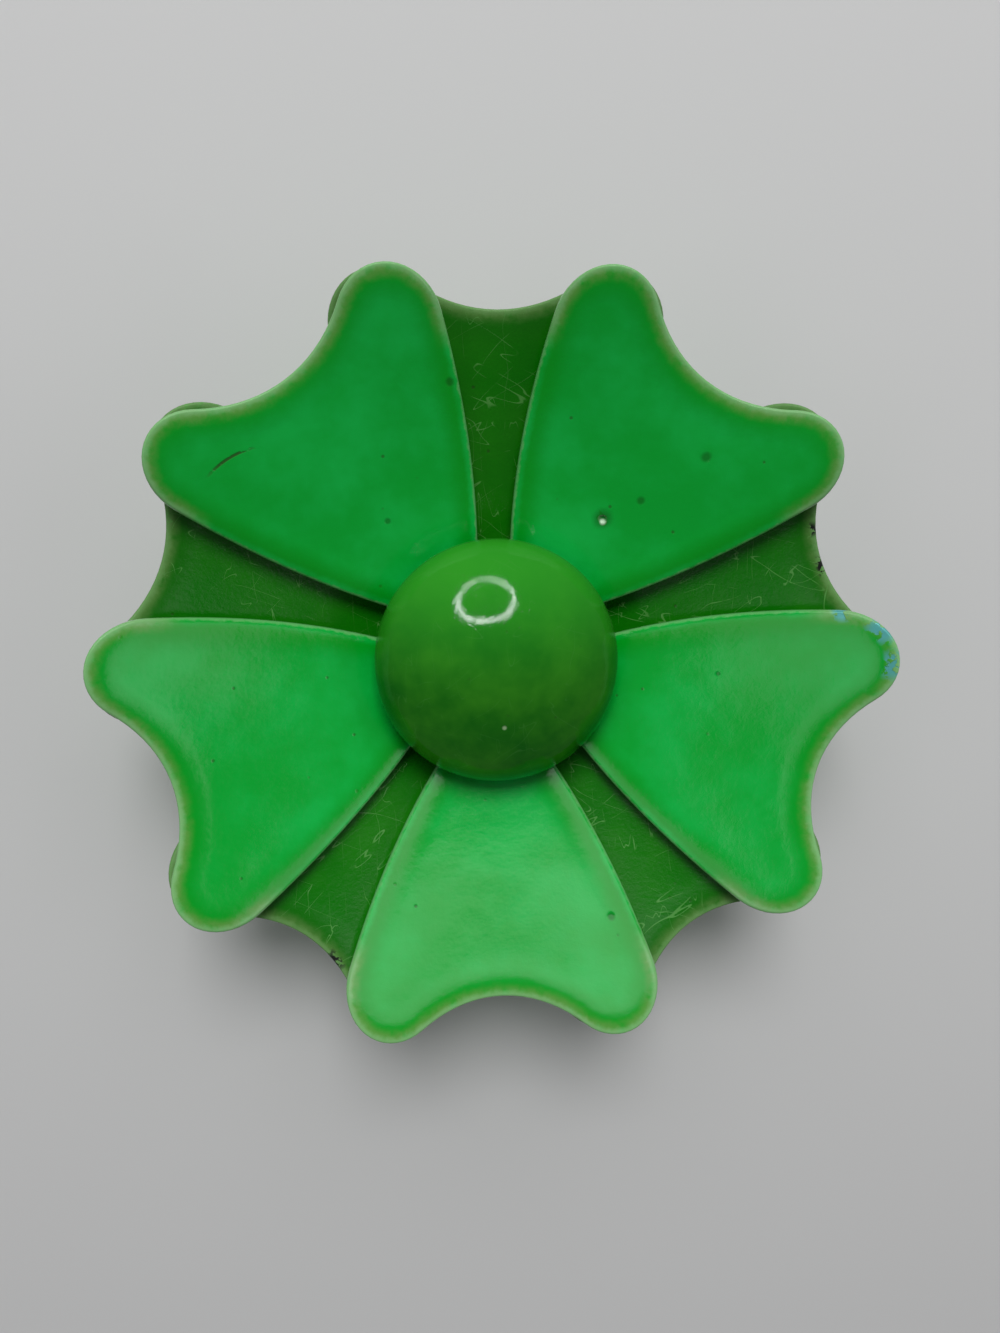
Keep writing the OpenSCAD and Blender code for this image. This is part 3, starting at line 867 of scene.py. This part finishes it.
hinge_low, hinge_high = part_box("hinge_pin")
hinge = (hinge_low + hinge_high) / 2
low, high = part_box("pin_bar")
bar_low_z = rivets_low.z + TAIL_H
bar_t = high.z - bar_low_z
bar_end_r = high.y
round_end = Vector((high.x - bar_end_r, 0))
square_x = low.x + CORNER_END_R
far_corner = Vector((square_x, high.y - CORNER_END_R))
near_corner = Vector((square_x, low.y + CORNER_END_R))
strip = whole_arc(round_end, bar_end_r, -math.pi / 2, math.pi / 2, steps=24)
strip += arc(far_corner, CORNER_END_R, math.pi / 2, math.pi, steps=6)
strip += whole_arc(near_corner, CORNER_END_R, math.pi, 1.5 * math.pi, steps=6)
bar = prism("pin_bar_folded", strip, Vector((0, 0, bar_low_z)), RIGHT, BACK, UP * bar_t)
ear_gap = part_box("pin_stem")[1].y + EAR_PLAY
ear_top = bar_low_z + bar_t / 2 - hinge.z
ear = whole_arc(Vector((0, 0)), EAR_R, math.pi, math.tau, steps=20)
ear += [Vector((EAR_R, ear_top)), Vector((-EAR_R, ear_top))]
for name, near in (("front", ear_gap), ("back", -ear_gap - bar_t)):
    fold = prism("ear_" + name, ear, Vector((hinge.x, near, hinge.z)), RIGHT, UP, BACK * bar_t)
    combine(bar, fold, "UNION")
soften(bar, BAR_EDGE)
drill(bar, hinge, HINGE_PIN_R, BACK, depth=8 * MM)
for x, radius in ((0, RIVET_R), (bar_rivet_x, BAR_RIVET_R), (-bar_rivet_x, BAR_RIVET_R)):
    drill(bar, Vector((x, 0, bar_low_z)), radius, UP, depth=4 * MM)
finish_piece(bar, "pin_bar", "back", NICKEL)


# ------------------------------------------------------------------ hinge pin and stem
# A short rivet through the ears, and a sprung steel wire that is coiled round it, runs
# straight to the catch and is ground to a point. It swings down away from the bar.

HINGE_HEAD_R = 0.8 * MM
HINGE_HEAD_H = 0.4 * MM
HEAD_FACE_R = 0.5 * MM
HEAD_FACE_H = 0.06 * MM
HEAD_RIM_H = 0.25 * MM
pin_l = hinge_high.y - hinge_low.y
head = [(HINGE_PIN_R, HINGE_HEAD_H), (HINGE_HEAD_R, HINGE_HEAD_H), (HINGE_HEAD_R, HEAD_RIM_H),
        (HEAD_FACE_R, HEAD_FACE_H), (0, 0)]
section = [(radius, pin_l - height) for radius, height in reversed(head)] + head
foot = Vector((hinge.x, hinge_low.y, hinge.z))
pin = spin_section("hinge_pin_turned", section, foot, BACK, steps=40)
finish_piece(pin, "hinge_pin", "back", STEEL)

WIRE_R = 0.4 * MM
COIL_WIRE_R = 0.325 * MM
COIL_TURNS = 2.25
COIL_STEPS = 24
EASE_L = 5 * MM  # from the coil to where the wire is straight
EASE_STEPS = 12
STRAIGHT_STEPS = 4
POINT_L = 3.5 * MM
POINT_R = 0.06 * MM
POINT_STEPS = 8
POINT_POWER = 1.6
low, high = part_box("pin_stem")
coil_r = high.z - hinge.z - COIL_WIRE_R
coil_y = high.y - COIL_WIRE_R
path = []
steps = int(COIL_TURNS * COIL_STEPS)
for i in range(steps + 1):
    a = math.pi / 2 + math.tau * COIL_TURNS * (1 - i / steps)
    place = Vector((coil_r * math.cos(a), coil_y * (1 - 2 * i / steps), coil_r * math.sin(a)))
    path.append((hinge + place, COIL_WIRE_R))
for i in range(1, EASE_STEPS + 1):
    share = i / EASE_STEPS
    left = 1 - share**2 * (3 - 2 * share)
    place = Vector((EASE_L * share, -coil_y * left, coil_r * left))
    path.append((hinge + place, WIRE_R + (COIL_WIRE_R - WIRE_R) * left))
point_x = high.x - POINT_L
straight_x = hinge.x + EASE_L
for i in range(1, STRAIGHT_STEPS + 1):
    x = straight_x + (point_x - straight_x) * i / STRAIGHT_STEPS
    path.append((Vector((x, 0, hinge.z)), WIRE_R))
for i in range(1, POINT_STEPS + 1):
    share = i / POINT_STEPS
    radius = POINT_R + (WIRE_R - POINT_R) * (1 - share**POINT_POWER)
    path.append((Vector((point_x + POINT_L * share, 0, hinge.z)), radius))
wire = bpy.data.curves.new("pin_stem_wire", "CURVE")
wire.dimensions = "3D"
wire.bevel_depth = 1.0
wire.bevel_resolution = 5
wire.use_fill_caps = True
spline = wire.splines.new("POLY")
spline.points.add(len(path) - 1)
for point, (place, radius) in zip(spline.points, path):
    point.co = (*place, 1)
    point.radius = radius
stem = bpy.data.objects.new("pin_stem_wire", wire)
bpy.context.scene.collection.objects.link(stem)
deselect_all()
stem.select_set(True)
bpy.context.view_layer.objects.active = stem
bpy.ops.object.convert(target="MESH")
stem = bpy.context.object
bpy.ops.object.mode_set(mode="EDIT")
turn_faces_out(merge=True)
BRIGHT_STEEL = new_steel("stem_steel", colour=(0.62, 0.61, 0.59, 1), tarnish=(0.34, 0.31, 0.27, 1),
                         bright=(0.80, 0.79, 0.77, 1), roughness=0.16, scale=500.0)
finish_piece(stem, "pin_stem", "stem", BRIGHT_STEEL, degrees=50)


# ------------------------------------------------------------------ safety catch
# A nickelled tube with an open mouth, on a neck and a foot soldered to the bar. A slotted
# steel roller turns inside it by its thumb tab, and shuts the mouth over the wire.

NECK_HALF = 0.8 * MM
FOOT_H = 0.6 * MM
FOOT_HALF = 1.9 * MM
FILLET_R = 0.7 * MM
MOUTH_ANGLE = math.radians(47)
CATCH_EDGE = 0.12 * MM
ROLLER_R = 1.4 * MM
SLOT_HALF = 0.5 * MM
ROLLER_EDGE = 0.08 * MM
TAB_T = 0.7 * MM
TAB_HALF = 0.6 * MM
TAB_ROOT = 0.9 * MM
TAB_ANGLE = math.radians(165)
AXIS = Vector((0, 0))  # the wire, seen along it
low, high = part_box("catch_housing")
tube_r = high.y
bore_r = ROLLER_R + SWIVEL_GAP
foot_top = bar_low_z - hinge.z
foot_z = foot_top - FOOT_H
fillet_x = NECK_HALF + FILLET_R
down = -math.pi / 2
neck_angle = math.acos(NECK_HALF / tube_r)
half = arc(AXIS, tube_r, down + MOUTH_ANGLE, neck_angle, steps=20)
fillet_centre = Vector((fillet_x, foot_z - FILLET_R))
half += whole_arc(fillet_centre, FILLET_R, math.pi, math.pi / 2, steps=6)
half += [Vector((FOOT_HALF, foot_z)), Vector((FOOT_HALF, foot_top))]
mouth_start = down + MOUTH_ANGLE
mouth_end = down + math.tau - MOUTH_ANGLE
bore = whole_arc(AXIS, bore_r, mouth_end, mouth_start, steps=32)
outline = half + [Vector((-p.x, p.y)) for p in reversed(half)] + bore
catch_start = Vector((low.x, 0, hinge.z))
catch_l = high.x - low.x
housing = prism("catch_housing_bent", outline, catch_start, BACK, UP, RIGHT * catch_l)
soften(housing, CATCH_EDGE)
finish_piece(housing, "catch_housing", "back", NICKEL)

low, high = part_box("catch_rotor")
slot_edge = math.asin(SLOT_HALF / ROLLER_R)
slot_start = down + math.tau - slot_edge
outline = whole_arc(AXIS, ROLLER_R, down + slot_edge, slot_start, steps=48)
outline += whole_arc(AXIS, SLOT_HALF, math.pi, 0, steps=12)
roller_start = Vector((low.x, 0, hinge.z))
roller_l = high.x - low.x
roller = prism("catch_rotor_turned", outline, roller_start, BACK, UP, RIGHT * roller_l)
tab_way = Vector((0, math.sin(TAB_ANGLE), -math.cos(TAB_ANGLE)))
tab_side = Vector((0, -tab_way.z, tab_way.y))
tab_reach = (high.z - hinge.z - TAB_HALF * abs(tab_side.z)) / tab_way.z
tab = [Vector((-TAB_HALF, TAB_ROOT)), Vector((TAB_HALF, TAB_ROOT))]
tab += whole_arc(Vector((0, tab_reach - TAB_HALF)), TAB_HALF, 0, math.pi, steps=14)
tab_start = Vector((high.x - TAB_T, 0, hinge.z))
thumb = prism("thumb_tab", tab, tab_start, tab_side, tab_way, RIGHT * TAB_T)
combine(roller, thumb, "UNION")
soften(roller, ROLLER_EDGE)
finish_piece(roller, "catch_rotor", "catch", BRIGHT_STEEL)


# ------------------------------------------------------------------ floor, lights and camera
# A plain pale floor. It is clear when seen from below, so that the pin can be looked at.

FLOOR_SIZE = 4.0
FLOOR_GREY = (0.58, 0.58, 0.58, 1)
bpy.ops.mesh.primitive_plane_add(size=FLOOR_SIZE, location=(0, 0, 0))
floor = bpy.context.object
floor.name = "floor"
floor_material = bpy.data.materials.new("floor")
floor_material.use_nodes = True
floor_tree = floor_material.node_tree
floor_tree.nodes.clear()
pale = add_node(floor_tree, "ShaderNodeBsdfDiffuse", {"Color": FLOOR_GREY})
clear = add_node(floor_tree, "ShaderNodeBsdfTransparent")
from_below = add_node(floor_tree, "ShaderNodeNewGeometry").outputs["Backfacing"]
shadow_ray = add_node(floor_tree, "ShaderNodeLightPath").outputs["Is Shadow Ray"]
see_through = maths(floor_tree, "MAXIMUM", from_below, shadow_ray)
floor_shader = add_node(floor_tree, "ShaderNodeMixShader",
                        {0: see_through, 1: pale.outputs[0], 2: clear.outputs[0]})
add_node(floor_tree, "ShaderNodeOutputMaterial", {"Surface": floor_shader.outputs[0]})
floor.data.materials.append(floor_material)

# A ring lamp that lights only the dome, a soft key lamp that nothing mirrors, three soft
# panels that light all but the dome, a panel below the floor for the back, and a dim room.
AIM = Vector((0, 0, 15 * MM))
dome_only = bpy.data.collections.new("dome_only")
dome_only.objects.link(dome)
all_but_dome = bpy.data.collections.new("all_but_dome")
all_but_dome.objects.link(dome)
all_but_dome.collection_objects[0].light_linking.link_state = "EXCLUDE"


def panel(name, place, aim, width, height, watts):
    """A rectangular area light that faces a point."""
    light = bpy.data.lights.new(name, "AREA")
    light.shape = "RECTANGLE"
    light.size = width
    light.size_y = height
    light.energy = watts
    lamp = bpy.data.objects.new(name, light)
    lamp.location = place
    lamp.rotation_euler = (aim - place).to_track_quat("-Z", "Y").to_euler()
    bpy.context.scene.collection.objects.link(lamp)
    return lamp


RING_CENTRE = Vector((-0.030, 0.200, 0.244))
RING_R = 0.097
RING_TUBE = 0.0045
RING_LAMPS = 36
RING_WATTS = 0.38
lamp_l = math.tau * RING_R / RING_LAMPS
for i in range(RING_LAMPS):
    a = math.tau * i / RING_LAMPS
    place = RING_CENTRE + RING_R * toward(a).to_3d()
    lamp = panel(f"ring_lamp_{i + 1}", place, place - UP, RING_TUBE, lamp_l,
                 RING_WATTS / RING_LAMPS)
    lamp.rotation_euler = (0, 0, a)
    lamp.light_linking.receiver_collection = dome_only

key_lamp = panel("key_lamp", Vector((-0.02, 0.36, 0.55)), AIM, width=0.25, height=0.25, watts=2.5)
key_lamp.visible_glossy = False
panels = [
    panel("soft_panel_top", Vector((0, 0.435, 0.44)), AIM, width=0.60, height=0.47, watts=1.40),
    panel("soft_panel_left", Vector((-0.36, 0, 0.48)), AIM, width=0.40, height=0.17, watts=0.20),
    panel("soft_panel_right", Vector((0.446, 0, 0.41)), AIM, width=0.40, height=0.22, watts=0.30),
]
for lamp in panels:
    lamp.light_linking.receiver_collection = all_but_dome
panel("soft_panel_below", Vector((0, 0.05, -0.35)), AIM, width=0.5, height=0.5, watts=1.2)

world = bpy.data.worlds.new("room")
world.use_nodes = True
room = world.node_tree.nodes["Background"].inputs
room["Color"].default_value = (0.95, 0.97, 1.0, 1)
room["Strength"].default_value = 0.09
bpy.context.scene.world = world
bpy.context.scene.view_settings.view_transform = "Standard"

CAMERA_TURN = Euler((math.radians(-7.92), math.radians(-3.93), math.radians(-0.37)))
CAMERA_SHIFT = Vector((0.87, -1.66, 100.1)) * MM
CAMERA_AIM_Z = 7.43 * MM
SENSOR_W = 36
FOCAL_LENGTH = 26.49
camera_data = bpy.data.cameras.new("camera")
camera = bpy.data.objects.new("camera", camera_data)
camera_data.sensor_width = SENSOR_W
camera_data.lens = FOCAL_LENGTH
camera_data.clip_start = 0.001
camera.rotation_euler = CAMERA_TURN
camera.location = CAMERA_TURN.to_matrix() @ CAMERA_SHIFT + Vector((0, 0, CAMERA_AIM_Z))
bpy.context.scene.collection.objects.link(camera)
bpy.context.scene.camera = camera
